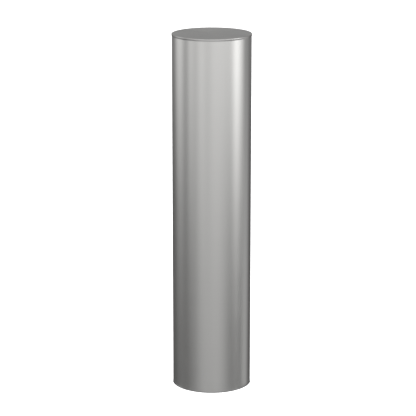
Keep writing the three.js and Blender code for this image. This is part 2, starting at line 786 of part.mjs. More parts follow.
function addOnRail(name, geometry, kind, radius, z) {
  const [x, y] = polar(radius, RAIL_ANGLE);
  add(fixed, name, geometry, kind, x, y, z).rotation.z = radians(RAIL_ANGLE);
}

function addSensors() {
  const top = FRAME_BOTTOM - FIT;
  const railLength = top - LOWER_BOTTOM;
  const rail = new THREE.BoxGeometry(RAIL.thick, RAIL.wide, railLength);
  addOnRail('sensor_rail', rail, 'zinc_screw', RAIL_IN_R + RAIL.thick / 2,
    top - railLength / 2);
  const faceR = RAIL_IN_R - FIT - SENSOR.deep / 2;
  const block = new THREE.BoxGeometry(SENSOR.deep, SENSOR.wide, SENSOR.tall);
  const flagTop = SLIDER_TOP + FIT + FLAG.tall;
  addOnRail('upper_sensor', block.clone(), 'polymer', faceR, flagTop + 3 + SENSOR.tall / 2);
  addOnRail('lower_sensor', block.clone(), 'polymer', faceR,
    SLIDER_BOTTOM - STROKE - SLIDER_TO_SENSOR - SENSOR.tall / 2);
}
addSensors();

export default group;
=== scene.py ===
import json
import math

import bmesh
import bpy
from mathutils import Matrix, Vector


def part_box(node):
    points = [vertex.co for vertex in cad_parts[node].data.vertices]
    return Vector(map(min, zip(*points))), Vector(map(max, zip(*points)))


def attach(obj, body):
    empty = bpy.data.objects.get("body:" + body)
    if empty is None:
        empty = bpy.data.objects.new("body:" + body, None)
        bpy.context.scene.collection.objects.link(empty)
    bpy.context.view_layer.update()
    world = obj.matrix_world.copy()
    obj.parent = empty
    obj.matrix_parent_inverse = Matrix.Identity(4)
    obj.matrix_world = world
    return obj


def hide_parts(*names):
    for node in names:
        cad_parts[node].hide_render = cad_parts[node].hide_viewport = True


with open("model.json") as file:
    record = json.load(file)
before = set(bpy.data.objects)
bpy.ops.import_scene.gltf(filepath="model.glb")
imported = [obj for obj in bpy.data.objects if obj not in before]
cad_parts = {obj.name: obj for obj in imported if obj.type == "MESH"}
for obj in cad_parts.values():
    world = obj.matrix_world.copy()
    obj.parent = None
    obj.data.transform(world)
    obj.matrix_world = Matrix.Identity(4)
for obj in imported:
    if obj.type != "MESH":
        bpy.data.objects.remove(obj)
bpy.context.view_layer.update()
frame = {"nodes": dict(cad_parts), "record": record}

SCENE = bpy.context.scene
MM = 0.001

# ---- Camera ----------------------------------------------------------------------------------

# A least-squares fit to the outline of the post in the photo, with its modelled size held fixed.
CAMERA_AT = (-0.0103, -5.0, 1.769)
CAMERA_PITCH = 14.16        # degrees below the horizon
CAMERA_LENS = 159.5         # mm, on a 36 mm sensor


def make_camera():
    data = bpy.data.cameras.new("camera")
    data.lens = CAMERA_LENS
    data.sensor_width = 36.0
    data.clip_end = 200.0
    camera = bpy.data.objects.new("camera", data)
    camera.location = CAMERA_AT
    camera.rotation_euler = (math.radians(90.0 - CAMERA_PITCH), 0.0, 0.0)
    SCENE.collection.objects.link(camera)
    SCENE.camera = camera


# ---- Node helpers ----------------------------------------------------------------------------


def node(tree, kind, inputs=None, **settings):
    """A new node; inputs maps socket names or numbers to values or to sockets to link."""
    made = tree.nodes.new(kind)
    for name, value in settings.items():
        setattr(made, name, value)
    for name, value in (inputs or {}).items():
        if isinstance(value, bpy.types.NodeSocket):
            tree.links.new(value, made.inputs[name])
        else:
            made.inputs[name].default_value = value
    return made


def math_node(tree, operation, *values, clamp=False):
    made = node(tree, "ShaderNodeMath", dict(enumerate(values)), operation=operation)
    made.use_clamp = clamp
    return made.outputs[0]


def weighted(tree, first, share, second, other_share):
    """first * share + second * other_share, as nodes."""
    return math_node(
        tree,
        "ADD",
        math_node(tree, "MULTIPLY", first, share),
        math_node(tree, "MULTIPLY", second, other_share),
    )


def map_range(tree, value, from_min, from_max, to_min, to_max, smooth=False):
    made = node(
        tree,
        "ShaderNodeMapRange",
        {0: value, 1: from_min, 2: from_max, 3: to_min, 4: to_max},
    )
    if smooth:
        made.interpolation_type = "SMOOTHSTEP"
    return made.outputs[0]


# ---- Stage: studio surroundings and floor ----------------------------------------------------

# Soft light panels round the object, in degrees. Azimuth is counted from the camera's side
# towards +X. A negative strength is a dark gap between two panels.
# The first three room panels, the first two ground panels, the glows and the horizon began as a
# least-squares fit of the light to the photo's brightness. The two ground panels and ROOM_GLOW
# are still that fit, rounded. The others were changed or added afterwards.
# (azimuth, half width, soft edge, strength)
ROOM_PANELS = [
    (3.0, 77.0, 12.0, 0.74),
    (84.0, 16.0, 15.0, 1.30),
    (-106.0, 18.0, 18.0, 0.81),
    (-48.0, 9.0, 9.0, -0.22),
    (-12.0, 10.0, 10.0, -0.18),
    (142.0, 12.0, 12.0, -0.08),
]
GROUND_PANELS = [
    (0.0, 46.0, 32.0, 0.37),
    (119.0, 15.0, 14.0, 0.40),
    (80.0, 10.0, 14.0, 0.06),
    (-85.0, 35.0, 30.0, 0.05),
]
ROOM_GLOW = 0.33
GROUND_GLOW = 0.10
HORIZON = (-0.21, -0.05)    # height of direction where ground turns into room
BACKDROP = 1.4              # the white that the camera sees behind the object

FLOOR_NEAR = 0.6            # m, radius of the ring of faces round the hole
FLOOR_FAR = 60.0            # m, radius of the floor
FLOOR_GAP = 0.4 * MM        # between the cap and the hole in the floor


def panel_light(tree, azimuth, panels, glow):
    """The light from a set of panels at an azimuth in radians."""
    total = glow
    for place, half_width, soft, strength in panels:
        offset = math_node(tree, "SUBTRACT", azimuth, math.radians(place))
        around = math_node(tree, "WRAP", offset, math.pi, -math.pi)
        panel = map_range(
            tree,
            math_node(tree, "ABSOLUTE", around),
            math.radians(half_width - soft),
            math.radians(half_width + soft),
            strength,
            0.0,
            smooth=True,
        )
        total = math_node(tree, "ADD", panel, total)
    return total


def make_world():
    world = bpy.data.worlds.new("studio")
    SCENE.world = world
    world.use_nodes = True
    tree = world.node_tree
    tree.nodes.clear()
    direction = node(tree, "ShaderNodeTexCoord").outputs["Generated"]
    part = node(tree, "ShaderNodeSeparateXYZ", {0: direction}).outputs
    azimuth = math_node(tree, "ARCTAN2", part["X"], math_node(tree, "MULTIPLY", part["Y"], -1.0))
    above = map_range(tree, part["Z"], *HORIZON, 0.0, 1.0, smooth=True)
    below = math_node(tree, "SUBTRACT", 1.0, above)
    room = panel_light(tree, azimuth, ROOM_PANELS, ROOM_GLOW)
    ground = panel_light(tree, azimuth, GROUND_PANELS, GROUND_GLOW)
    light = weighted(tree, above, room, below, ground)
    studio = node(
        tree, "ShaderNodeBackground", {"Color": (1.0, 0.998, 0.992, 1.0), "Strength": light}
    )
    backdrop = node(
        tree, "ShaderNodeBackground", {"Color": (1.0, 1.0, 1.0, 1.0), "Strength": BACKDROP}
    )
    seen = node(tree, "ShaderNodeLightPath").outputs["Is Camera Ray"]
    mixed = node(
        tree, "ShaderNodeMixShader", {0: seen, 1: studio.outputs[0], 2: backdrop.outputs[0]}
    )
    node(tree, "ShaderNodeOutputWorld", {"Surface": mixed.outputs[0]})
    SCENE.view_settings.view_transform = "Standard"


def make_floor(hole_radius):
    """A wide pale disc at paving level with a round hole for the bollard."""
    sides = 192
    rim_depth = 7.3 * MM
    mesh = bpy.data.meshes.new("floor")
    build = bmesh.new()
    rings = []
    outline = [
        (hole_radius, -rim_depth),
        (hole_radius, 0.0),
        (FLOOR_NEAR, 0.0),
        (FLOOR_FAR, 0.0),
    ]
    for radius, z in outline:
        ring = []
        for i in range(sides):
            a = 2.0 * math.pi * i / sides
            ring.append(build.verts.new((radius * math.cos(a), radius * math.sin(a), z)))
        rings.append(ring)
    for inner, outer in zip(rings, rings[1:]):
        for i in range(sides):
            j = (i + 1) % sides
            build.faces.new((inner[i], inner[j], outer[j], outer[i]))
    bmesh.ops.recalc_face_normals(build, faces=build.faces)
    build.to_mesh(mesh)
    build.free()
    floor = bpy.data.objects.new("floor", mesh)
    SCENE.collection.objects.link(floor)

    material = bpy.data.materials.new("pale_floor")
    material.use_nodes = True
    tree = material.node_tree
    tree.nodes.clear()
    matt = node(
        tree, "ShaderNodeBsdfDiffuse", {"Color": (0.9, 0.9, 0.9, 1.0), "Roughness": 0.5}
    )
    glow = node(tree, "ShaderNodeEmission", {"Color": (1.0, 1.0, 1.0, 1.0), "Strength": 0.9})
    both = node(tree, "ShaderNodeAddShader", {0: matt.outputs[0], 1: glow.outputs[0]})
    node(tree, "ShaderNodeOutputMaterial", {"Surface": both.outputs[0]})
    mesh.materials.append(material)
    floor.visible_glossy = False


# ---- Materials -------------------------------------------------------------------------------


def grain(tree, scale, detail=4.0, roughness=0.55, distortion=0.0, noise_scale=1.0):
    """Noise over object coordinates in metres, stretched by scale along X, Y and Z."""
    place = node(tree, "ShaderNodeTexCoord").outputs["Object"]
    stretched = node(tree, "ShaderNodeMapping", {"Vector": place, "Scale": scale}).outputs[0]
    return node(
        tree,
        "ShaderNodeTexNoise",
        {
            "Vector": stretched,
            "Scale": noise_scale,
            "Detail": detail,
            "Roughness": roughness,
            "Distortion": distortion,
        },
    ).outputs[0]


def tinted(tree, factor, dark, light):
    """A colour between dark and light by factor."""
    made = node(tree, "ShaderNodeMix", {"Factor": factor}, data_type="RGBA")
    made.inputs[6].default_value = (*dark, 1.0)
    made.inputs[7].default_value = (*light, 1.0)
    return made.outputs[2]


def blank_material(name):
    material = bpy.data.materials.new(name)
    material.use_nodes = True
    tree = material.node_tree
    shader = tree.nodes["Principled BSDF"]
    return material, tree, shader


def bump(tree, shader, height, strength, distance):
    made = node(
        tree, "ShaderNodeBump", {"Height": height, "Strength": strength, "Distance": distance}
    )
    tree.links.new(made.outputs[0], shader.inputs["Normal"])
    return made


FOOT_SHADE_LINE = 2.6 * MM       # the painted shade line at the foot fades out this far above and below zero


def brushed_stainless(name, turned):
    """Stainless steel with brush lines round the axis; turned is for a face cut on a lathe."""
    material, tree, shader = blank_material(name)
    if turned:
        place = node(tree, "ShaderNodeTexCoord").outputs["Object"]
        flat = node(
            tree, "ShaderNodeVectorMath", {0: place, 1: (1.0, 1.0, 0.0)}, operation="MULTIPLY"
        ).outputs[0]
        radius = node(
            tree, "ShaderNodeVectorMath", {0: flat}, operation="LENGTH"
        ).outputs["Value"]
        along = math_node(tree, "MULTIPLY", radius, 1400.0)
        fine = node(
            tree,
            "ShaderNodeTexNoise",
            {"W": along, "Scale": 1.0, "Detail": 3.0},
            noise_dimensions="1D",
        ).outputs[0]
    else:
        fine = grain(tree, (5.0, 5.0, 1500.0), detail=5.0, roughness=0.7)
    cloudy = grain(tree, (14.0, 14.0, 9.0), detail=3.0)
    streaks = grain(tree, (1.5, 1.5, 260.0), detail=3.0)
    tone = weighted(tree, fine, 0.7, streaks, 0.3)
    colour = tinted(tree, tone, (0.63, 0.627, 0.618), (0.67, 0.667, 0.657))
    # Painted shade: a dark band round the post at height zero, where it leaves the paving, stands in
    # for the contact shadow there.
    height = node(
        tree, "ShaderNodeSeparateXYZ", {0: node(tree, "ShaderNodeTexCoord").outputs["Object"]}
    ).outputs["Z"]
    over = map_range(tree, height, 0.0, FOOT_SHADE_LINE, 1.0, 0.0, smooth=True)
    under = map_range(tree, height, -FOOT_SHADE_LINE, 0.0, 0.0, 1.0, smooth=True)
    foot_shade = math_node(tree, "MULTIPLY", math_node(tree, "MULTIPLY", over, under), 0.8)
    foot_shaded = node(
        tree, "ShaderNodeMix", {0: foot_shade, 6: colour, 7: (0.10, 0.098, 0.095, 1.0)}, data_type="RGBA"
    )
    tree.links.new(foot_shaded.outputs[2], shader.inputs["Base Color"])
    rough = math_node(
        tree,
        "ADD",
        map_range(tree, fine, 0.3, 0.7, 0.28, 0.31),
        map_range(tree, cloudy, 0.3, 0.7, -0.008, 0.008),
    )
    tree.links.new(rough, shader.inputs["Roughness"])
    shader.inputs["Metallic"].default_value = 1.0
    shader.inputs["Anisotropic"].default_value = 0.7
    shader.inputs["Anisotropic Rotation"].default_value = 0.25
    tangent = node(tree, "ShaderNodeTangent", direction_type="RADIAL", axis="Z")
    tree.links.new(tangent.outputs[0], shader.inputs["Tangent"])
    bump(tree, shader, fine, 0.012, 0.0002)
    return material


def metal(name, dark, light, rough, scale, bump_strength=0.1, patches=30.0):
    """Bare metal with tool marks of the given stretch and uneven tone."""
    material, tree, shader = blank_material(name)
    marks = grain(tree, scale, detail=4.0, roughness=0.65)
    spots = grain(tree, (patches, patches, patches), detail=5.0)
    tone = weighted(tree, marks, 0.4, spots, 0.6)
    tree.links.new(tinted(tree, tone, dark, light), shader.inputs["Base Color"])
    tree.links.new(
        map_range(tree, marks, 0.25, 0.75, rough - 0.06, rough + 0.08),
        shader.inputs["Roughness"],
    )
    shader.inputs["Metallic"].default_value = 1.0
    bump(tree, shader, marks, bump_strength, 0.0003)
    return material


def galvanised(name):
    """Hot-dip zinc: crystals a few millimetres across, each with its own tone and gloss."""
    material, tree, shader = blank_material(name)
    place = node(tree, "ShaderNodeTexCoord").outputs["Object"]
    cells = node(tree, "ShaderNodeTexVoronoi", {"Vector": place, "Scale": 85.0})
    tone = node(tree, "ShaderNodeSeparateColor", {0: cells.outputs["Color"]}).outputs[0]
    stains = grain(tree, (9.0, 9.0, 5.0), detail=6.0)
    mixed = weighted(tree, tone, 0.45, stains, 0.55)
    tree.links.new(
        tinted(tree, mixed, (0.46, 0.48, 0.50), (0.63, 0.65, 0.67)), shader.inputs["Base Color"]
    )
    tree.links.new(map_range(tree, tone, 0.0, 1.0, 0.42, 0.58), shader.inputs["Roughness"])
    shader.inputs["Metallic"].default_value = 1.0
    bump(tree, shader, stains, 0.08, 0.0008)
    return material


def coating(name, dark, light, rough, grain_size, bump_strength, metallic=0.0, coat=0.0):
    """Paint, plastic or rubber: cloudy tone, fine surface grain and uneven gloss."""
    material, tree, shader = blank_material(name)
    clouds = grain(tree, (22.0, 22.0, 22.0), detail=6.0)
    fine_scale = 1.0 / grain_size
    fine = grain(tree, (fine_scale, fine_scale, fine_scale), detail=2.0)
    tone = weighted(tree, clouds, 0.8, fine, 0.2)
    tree.links.new(tinted(tree, tone, dark, light), shader.inputs["Base Color"])
    tree.links.new(
        map_range(tree, clouds, 0.3, 0.7, rough - 0.07, rough + 0.07),
        shader.inputs["Roughness"],
    )
    shader.inputs["Metallic"].default_value = metallic
    shader.inputs["Coat Weight"].default_value = coat
    bump(tree, shader, fine, bump_strength, grain_size)
    return material


def make_materials():
    lathe_marks = (60.0, 60.0, 2500.0)
    return {
        "stainless": brushed_stainless("brushed_stainless", turned=False),
        "stainless_turned": brushed_stainless("turned_stainless", turned=True),
        "steel": metal(
            "machined_steel", (0.30, 0.31, 0.32), (0.52, 0.53, 0.54), 0.40, lathe_marks, 0.15
        ),
        "ground_steel": metal(
            "ground_steel", (0.58, 0.59, 0.60), (0.72, 0.73, 0.74), 0.17, lathe_marks, 0.05
        ),
        "galvanised": galvanised("galvanised_steel"),
        "zinc_screw": metal(
            "zinc_plate", (0.50, 0.51, 0.48), (0.68, 0.68, 0.62), 0.33, (400.0,) * 3, 0.08
        ),
        "bronze": metal(
            "bronze", (0.50, 0.33, 0.14), (0.72, 0.52, 0.26), 0.34, lathe_marks, 0.12
        ),
        "rubber": coating(
            "black_rubber", (0.012, 0.012, 0.013), (0.035, 0.035, 0.037), 0.75, 0.0006, 0.35
        ),
        "polymer": coating(
            "dark_polymer", (0.018, 0.019, 0.021), (0.040, 0.042, 0.045), 0.50, 0.0005, 0.25
        ),
        "grey_plastic": coating(
            "grey_plastic", (0.22, 0.23, 0.24), (0.32, 0.33, 0.34), 0.42, 0.0012, 0.12
        ),
        "orange_rubber": coating(
            "orange_polyurethane", (0.46, 0.11, 0.03), (0.62, 0.19, 0.06), 0.45, 0.0008, 0.2
        ),
        "dark_paint": coating(
            "dark_paint", (0.028, 0.034, 0.042), (0.050, 0.058, 0.068), 0.38, 0.0018, 0.2, coat=0.3
        ),
        "blue_paint": coating(
            "blue_paint", (0.018, 0.050, 0.095), (0.030, 0.085, 0.150), 0.36, 0.0018, 0.2, coat=0.3
        ),
    }


# ---- Mesh helpers ----------------------------------------------------------------------------

RAIL_ANGLE = math.radians(120.0)      # where the sensor rail stands
AXES = {
    "X": Vector((1.0, 0.0, 0.0)),
    "Y": Vector((0.0, 1.0, 0.0)),
    "Z": Vector((0.0, 0.0, 1.0)),
    "rail": Vector((math.cos(RAIL_ANGLE), math.sin(RAIL_ANGLE), 0.0)),
}
HEXAGON = 6


def filleted(points, radius, steps=3):
    """The corners of a profile rounded to a radius, limited by the edges next to them.

    A profile that starts on the axis stays open there; any other is closed on itself.
    """
    opened = points[0][0] < 1e-7
    out = []
    count = len(points)
    for i, corner in enumerate(points):
        if opened and i in (0, count - 1):
            out.append(corner)
            continue
        here = Vector(corner)
        before = Vector(points[i - 1]) - here
        after = Vector(points[(i + 1) % count]) - here
        turn = before.angle(after)
        if turn > math.radians(172.0):
            out.append(corner)
            continue
        reach = min(radius / math.tan(turn / 2.0), 0.45 * before.length, 0.45 * after.length)
        start = here + before.normalized() * reach
        end = here + after.normalized() * reach
        for k in range(steps + 1):
            t = k / steps
            point = (1 - t) ** 2 * start + 2 * t * (1 - t) * here + t ** 2 * end
            out.append((point.x, point.y))
    return out


def shade(mesh, angle=35.0):
    for polygon in mesh.polygons:
        polygon.use_smooth = True
    mesh.set_sharp_from_angle(angle=math.radians(angle))


def link(name, build, material, angle=35.0):
    """A new object from a bmesh, with its faces pointing out and rounded shading."""
    bmesh.ops.remove_doubles(build, verts=build.verts, dist=1e-6)
    bmesh.ops.dissolve_degenerate(build, edges=build.edges, dist=1e-7)
    bmesh.ops.recalc_face_normals(build, faces=build.faces)
    mesh = bpy.data.meshes.new(name)
    build.to_mesh(mesh)
    build.free()
    shade(mesh, angle)
    piece = bpy.data.objects.new(name, mesh)
    SCENE.collection.objects.link(piece)
    mesh.materials.append(material)
    return piece


def settle(piece, body, slot, *nodes):
    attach(piece, body)
    if nodes:
        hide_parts(*nodes)
    return piece


def ring_radius(radius, angle, facets):
    """The radius of a circle, or of a polygon with that many facets, at an angle."""
    if not facets:
        return radius
    half = math.pi / facets
    return radius * math.cos(half) / math.cos(angle % (2.0 * half) - half)


def lathe(build, profile, sides, centre=(0.0, 0.0, 0.0), along="Z"):
    """Rings of a profile of (radius, height) or (radius, height, facets), joined by faces.

    A profile that starts off the axis is closed on itself, unless it ends in None.
    """
    axis = AXES[along]
    side = AXES["X"] if along == "Z" else AXES["Z"]
    other = axis.cross(side)
    centre = Vector(centre)
    loose = profile[-1] is None
    rings = []
    for radius, height, *facets in profile[:-1] if loose else profile:
        if radius < 1e-7:
            rings.append([build.verts.new(centre + axis * height)])
            continue
        ring = []
        for i in range(sides):
            a = 2.0 * math.pi * i / sides
            r = ring_radius(radius, a, facets[0] if facets else 0)
            spoke = side * math.cos(a) + other * math.sin(a)
            ring.append(build.verts.new(centre + axis * height + spoke * r))
        rings.append(ring)
    pairs = list(zip(rings, rings[1:]))
    if profile[0][0] > 1e-7 and not loose:
        pairs.append((rings[-1], rings[0]))
    for low, high in pairs:
        for i in range(sides):
            j = (i + 1) % sides
            corners = [low[i % len(low)], low[j % len(low)], high[j % len(high)], high[i % len(high)]]
            corners = list(dict.fromkeys(corners))
            if len(corners) > 2:
                build.faces.new(corners)


def turned_piece(name, profile, material, sides=96, centre=(0.0, 0.0, 0.0), along="Z"):
    build = bmesh.new()
    lathe(build, profile, sides, centre, along)
    return link(name, build, material)


def middle(name):
    low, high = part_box(name)
    return (low + high) / 2.0


def meridian(name, along="Z", near=0.0):
    """The (radius, height) outline of a turned CAD node, read from the line of its own corners
    that is nearest to an angle in degrees. Heights are along the axis from its zero."""
    axis = AXES[along]
    centre = middle(name)
    centre -= axis * centre.dot(axis)
    wanted = Vector((math.cos(math.radians(near)), math.sin(math.radians(near)), 0.0))
    if along == "X":
        wanted = Vector((0.0, math.sin(math.radians(near)), math.cos(math.radians(near))))
    build = bmesh.new()
    build.from_mesh(frame["nodes"][name].data)
    bmesh.ops.remove_doubles(build, verts=build.verts, dist=1e-6)
    spokes = []
    for vertex in build.verts:
        spoke = vertex.co - centre
        spokes.append(spoke - axis * spoke.dot(axis))
    widest = max(spoke.length for spoke in spokes)
    rim = [spoke for spoke in spokes if spoke.length > 0.999 * widest]
    ray = min(rim, key=lambda spoke: spoke.angle(wanted)).normalized()
    ray = (ray + axis.cross(ray) * 0.0001).normalized()
    cut = bmesh.ops.bisect_plane(
        build,
        geom=build.verts[:] + build.edges[:] + build.faces[:],
        plane_co=centre,
        plane_no=axis.cross(ray),
    )["geom_cut"]
    links = {}
    for edge in cut:
        if not isinstance(edge, bmesh.types.BMEdge):
            continue
        ends = [((v.co - centre).dot(ray), v.co.dot(axis)) for v in edge.verts]
        ends.sort()
        (r0, z0), (r1, z1) = ends
        if r1 < 1e-6:
            continue
        if r0 < 1e-6:
            r0, z0 = 0.0, z0 + (z1 - z0) * (0.0 - r0) / (r1 - r0)
        first, last = ((round(r, 5), round(z, 5)) for r, z in ((r0, z0), (r1, z1)))
        if first != last:
            links.setdefault(first, set()).add(last)
            links.setdefault(last, set()).add(first)
    build.free()
    start = min(links, key=lambda point: (point[0] > 0.0, point[1], point[0]))
    points = [start]
    seen = {start}
    while True:
        onward = [point for point in links[points[-1]] if point not in seen]
        if not onward:
            break
        points.append(onward[0])
        seen.add(onward[0])
    return tidy_outline(points)


def tidy_outline(points):
    """The outline without doubled points and points on straight stretches, anticlockwise."""
    opened = points[0][0] < 1e-7
    apart = []
    for point in points:
        if not apart or (Vector(point) - Vector(apart[-1])).length > 5e-5:
            apart.append(point)
    if not opened and (Vector(apart[0]) - Vector(apart[-1])).length < 5e-5:
        apart.pop()
    kept = []
    for i, point in enumerate(apart):
        before = Vector(point) - Vector(kept[-1] if kept else apart[-1])
        after = Vector(apart[(i + 1) % len(apart)]) - Vector(point)
        at_end = opened and i in (0, len(apart) - 1)
        if at_end or before.angle(after) > 0.02:
            kept.append(point)
    area = 0.0
    for (r0, z0), (r1, z1) in zip(kept, kept[1:] + kept[:1]):
        area += r0 * z1 - r1 * z0
    return kept if area > 0.0 else kept[::-1]


def refined(name, body, slot, material, fillet, sides=96, along="Z"):
    """A finely turned piece with rounded corners that follows a CAD node's own outline."""
    centre = middle(name)
    centre -= AXES[along] * centre.dot(AXES[along])
    profile = filleted(meridian(name, along), fillet * MM)
    piece = turned_piece(name + "_turned", profile, material, sides, centre, along)
    return settle(piece, body, slot, name)


def drilled(piece, holes):
    """Round holes cut by a boolean; a hole is (point, radius, half length, axis)."""
    build = bmesh.new()
    for point, radius, half, along in holes:
        lathe(build, [(0.0, -half), (radius, -half), (radius, half), (0.0, half)], 48, point, along)
    cutter = link("cutter", build, piece.data.materials[0])
    change = piece.modifiers.new("holes", "BOOLEAN")
    change.operation = "DIFFERENCE"
    change.object = cutter
    change.solver = "EXACT"
    depsgraph = bpy.context.evaluated_depsgraph_get()
    mesh = bpy.data.meshes.new_from_object(piece.evaluated_get(depsgraph))
    piece.modifiers.clear()
    piece.data = mesh
    bpy.data.objects.remove(cutter)
    shade(mesh, 30.0)
    return piece


def thread(build, bottom, top, crest, root, pitch, sides, centre=(0.0, 0.0)):
    """A trapezoidal thread round Z that runs out to its root at both ends."""
    phases = (0.0, 0.366, 0.486, 0.880)       # crest, crest, root, root along one pitch
    lifts = (1.0, 1.0, 0.0, 0.0)
    each = len(phases)
    turns = math.ceil((top - bottom) / pitch) + 1
    rows = turns * each
    columns = []
    for i in range(sides):
        a = 2.0 * math.pi * i / sides
        column = []
        for m in range(rows + each + 1):
            along = m // each - 1 + phases[m % each] + i / sides
            z = min(max(bottom + pitch * along, bottom), top)
            fade = min(1.0, (z - bottom) / pitch, (top - z) / pitch)
            r = root + (crest - root) * lifts[m % each] * fade
            column.append(
                build.verts.new((centre[0] + r * math.cos(a), centre[1] + r * math.sin(a), z))
            )
        columns.append(column)
    for i in range(sides):
        near = columns[i]
        far = columns[(i + 1) % sides]
        shift = each if i == sides - 1 else 0
        for m in range(rows):
            build.faces.new((near[m], far[m + shift], far[m + shift + 1], near[m + 1]))


def weld_bead(name, points, size, closed, material, body, slot):
    """A rippled bead of weld along a path."""
    step = 1.3 * MM
    path = []
    count = len(points)
    for i in range(count if closed else count - 1):
        start, end = Vector(points[i]), Vector(points[(i + 1) % count])
        pieces = max(1, round((end - start).length / step))
        path += [start.lerp(end, k / pieces) for k in range(pieces)]
    if not closed:
        path.append(Vector(points[-1]))
    sides = 8
    build = bmesh.new()
    rings = []
    for i, point in enumerate(path):
        before = path[i - 1] if closed or i else path[0]
        after = path[(i + 1) % len(path)] if closed or i < len(path) - 1 else path[-1]
        heading = (after - before).normalized()
        side = heading.cross(Vector((0.31, 0.17, 0.94))).normalized()
        up = heading.cross(side)
        radius = size * (1.0 + 0.10 * math.sin(i * 1.9))
        if not closed and i in (0, len(path) - 1):
            radius *= 0.4
        ring = []
        for k in range(sides):
            a = 2.0 * math.pi * k / sides
            ring.append(build.verts.new(point + (side * math.cos(a) + up * math.sin(a)) * radius))
        rings.append(ring)
    pairs = list(zip(rings, rings[1:]))
    if closed:
        pairs.append((rings[-1], rings[0]))
    else:
        build.faces.new(rings[0])
        build.faces.new(rings[-1][::-1])
    for low, high in pairs:
        for k in range(sides):
            j = (k + 1) % sides
            build.faces.new((low[k], low[j], high[j], high[k]))
    return settle(link(name, build, material, 80.0), body, slot)


def circle_path(radius, z, count=120, centre=(0.0, 0.0)):
    points = []
    for i in range(count):
        a = 2.0 * math.pi * i / count
        points.append((centre[0] + radius * math.cos(a), centre[1] + radius * math.sin(a), z))
    return points


# ---- The post above the ground ---------------------------------------------------------------

CAP_EDGE = 0.7 * MM         # rounding of the cap's edge
CAP_DROP = 0.3 * MM         # how far the cap's rim closes the joint above the tube


def make_post(materials):
    """Tube and cap, finer than in CAD; the cap's flat top is turned, and its edge is brushed."""
    tube = refined("bollard_tube", "bollard", "stainless", materials["stainless"], 0.2, 256)
    tube.name = "post_tube"
    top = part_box("cap")[1]
    shoulder = top.z - 2.0 * MM     # the CAD outline is followed up to here
    profile = [point for point in meridian("cap") if point[1] < shoulder]
    profile[-1] = (top.x, profile[-1][1] - CAP_DROP)
    profile = filleted(profile + [(top.x, shoulder)], 0.2 * MM, steps=2)
    steps = 5
    for k in range(steps + 1):
        a = math.radians(90.0 / steps * k)
        profile.append(
            (top.x + CAP_EDGE * (math.cos(a) - 1.0), top.z + CAP_EDGE * (math.sin(a) - 1.0))
        )
    profile.append((0.0, top.z))
    cap = turned_piece("post_cap", profile, materials["stainless"], 256)
    cap.data.materials.append(materials["stainless_turned"])
    for polygon in cap.data.polygons:
        if polygon.normal.z > 0.99 and polygon.center.z > top.z - 0.1 * MM:
            polygon.material_index = 1
    settle(cap, "bollard", "stainless", "cap")


# ---- Turned pieces in the ground -------------------------------------------------------------

# (nodes, body, fillet in mm, sides, axis); a node named with # stands for its copies 1 to 3.
TURNED = [
    ("guide_bush_#", "bollard", 0.6, 64, "Z"),
    ("screw_nut", "bollard", 1.0, 96, "Z"),
    ("screw_end_collar", "screw", 0.8, 80, "Z"),
    ("bearing_inner_ring", "screw", 0.8, 80, "Z"),
    ("gearbox_shaft", "screw", 0.8, 64, "Z"),
    ("bearing_outer_ring", "ground_unit", 0.8, 96, "Z"),
    ("bearing_housing", "ground_unit", 1.2, 96, "Z"),
    ("wiper_seal", "ground_unit", 0.25, 192, "Z"),
    ("upper_guide_ring", "ground_unit", 0.6, 192, "Z"),
    ("casing_base", "ground_unit", 1.5, 192, "Z"),
    ("top_buffer_#", "ground_unit", 2.2, 64, "Z"),
    ("bottom_buffer_#", "ground_unit", 2.2, 64, "Z"),
    ("conduit_socket", "ground_unit", 1.0, 96, "X"),
    ("drain_socket", "ground_unit", 1.0, 96, "X"),
]


def make_turned_pieces(materials, slots):
    for pattern, body, fillet, sides, along in TURNED:
        copies = "123" if "#" in pattern else " "
        for copy in copies:
            name = pattern.replace("#", copy)
            refined(name, body, slots[name], materials[slots[name]], fillet, sides, along)


# ---- Plates, frame flange and casing ---------------------------------------------------------

CLEAR_ANGLE = 48.0          # a line that meets no hole in the frame flange and the casing
PLATE_ANGLE = 36.0          # and in the inner plates
SCREW_HOLE = 6.3 * MM
SPIGOT_HOLE = 7.3 * MM
NUT_THREAD_HOLE = 8.3 * MM
LIGHTENING_HOLE = 16.0 * MM
LIGHTENING_OUT = 8.0 * MM   # these holes lie this far outside the middle of the plate's ring
PLATE_CUT = 12.0 * MM       # half length of the cut through the lower plate
BUSH_LIP = 3.7 * MM         # from the rim of a guide bush in to the hole that holds it
PIPE_FIT = 0.3 * MM         # round the pipes in the wall of the casing
PIPE_CUT = 50.0 * MM        # half length of the cut through that wall
SOCKETS = (("conduit_socket", 1.0), ("drain_socket", -1.0))     # and their side along X


def pipe_radius(socket):
    """The outer radius of a socket's pipe at its end nearest the axis of the bollard."""
    return min(meridian(socket, "X"), key=lambda corner: abs(corner[1]) - 0.001 * corner[0])[0]


def casing_wall():
    """The outer radius of the casing's tube."""
    return meridian("foundation_casing", near=CLEAR_ANGLE)[1][0]


def holes_round(names, radius, plate_name):
    """Holes along Z through a plate, one on the centre of each named node."""
    low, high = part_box(plate_name)
    half = (high.z - low.z) / 2.0 + 3.0 * MM
    holes = []
    for name in names:
        point = middle(name)
        point.z = (low.z + high.z) / 2.0
        holes.append((point, radius, half, "Z"))
    return holes


def plate(name, body, slot, material, fillet, near, holes):
    profile = filleted(meridian(name, near=near), fillet * MM, steps=2)
    piece = turned_piece(name + "_turned", profile, material, 180)
    return settle(drilled(piece, holes), body, slot, name)


def numbered(name, count):
    return [f"{name}_{k + 1}" for k in range(count)]


